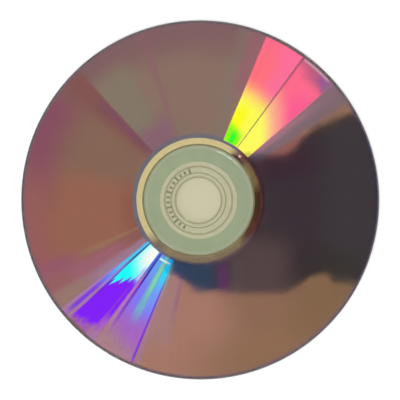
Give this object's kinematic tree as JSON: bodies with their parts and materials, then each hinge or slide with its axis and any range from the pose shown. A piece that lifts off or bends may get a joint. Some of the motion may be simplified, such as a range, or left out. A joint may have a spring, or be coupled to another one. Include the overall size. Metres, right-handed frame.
{
  "type": "compact disc",
  "caption": "Recordable optical disc with a dye coat and a mirror coat between two clear bonded halves, a clear hub with a stacking ring, and a printed label side.",
  "frame": {"origin": "centre of the spindle hole, on the printed face that the disc rests on", "axes": "+Z along the spindle axis, up out of the read-out face; +X and +Y across the disc, in any direction, because it is round"},
  "size_m": [0.12, 0.12, 0.0014],
  "materials": {
    "readout_plastic": "clear moulded polycarbonate, polished",
    "recording_dye": "purple-brown dye film that splits light into rainbow colours",
    "mirror_coat": "warm silvery mirror film",
    "bonding_resin": "clear cured resin",
    "label_plastic": "clear moulded polycarbonate, polished",
    "printing_ink": "matt screen-printed ink, bare of artwork"
  },
  "bodies": {
    "root": {"readout_half": "readout_plastic", "dye_layer": "recording_dye", "metal_layer": "mirror_coat", "bond_layer": "bonding_resin", "label_half": "label_plastic", "label_print": "printing_ink"}
  },
  "joints": []
}
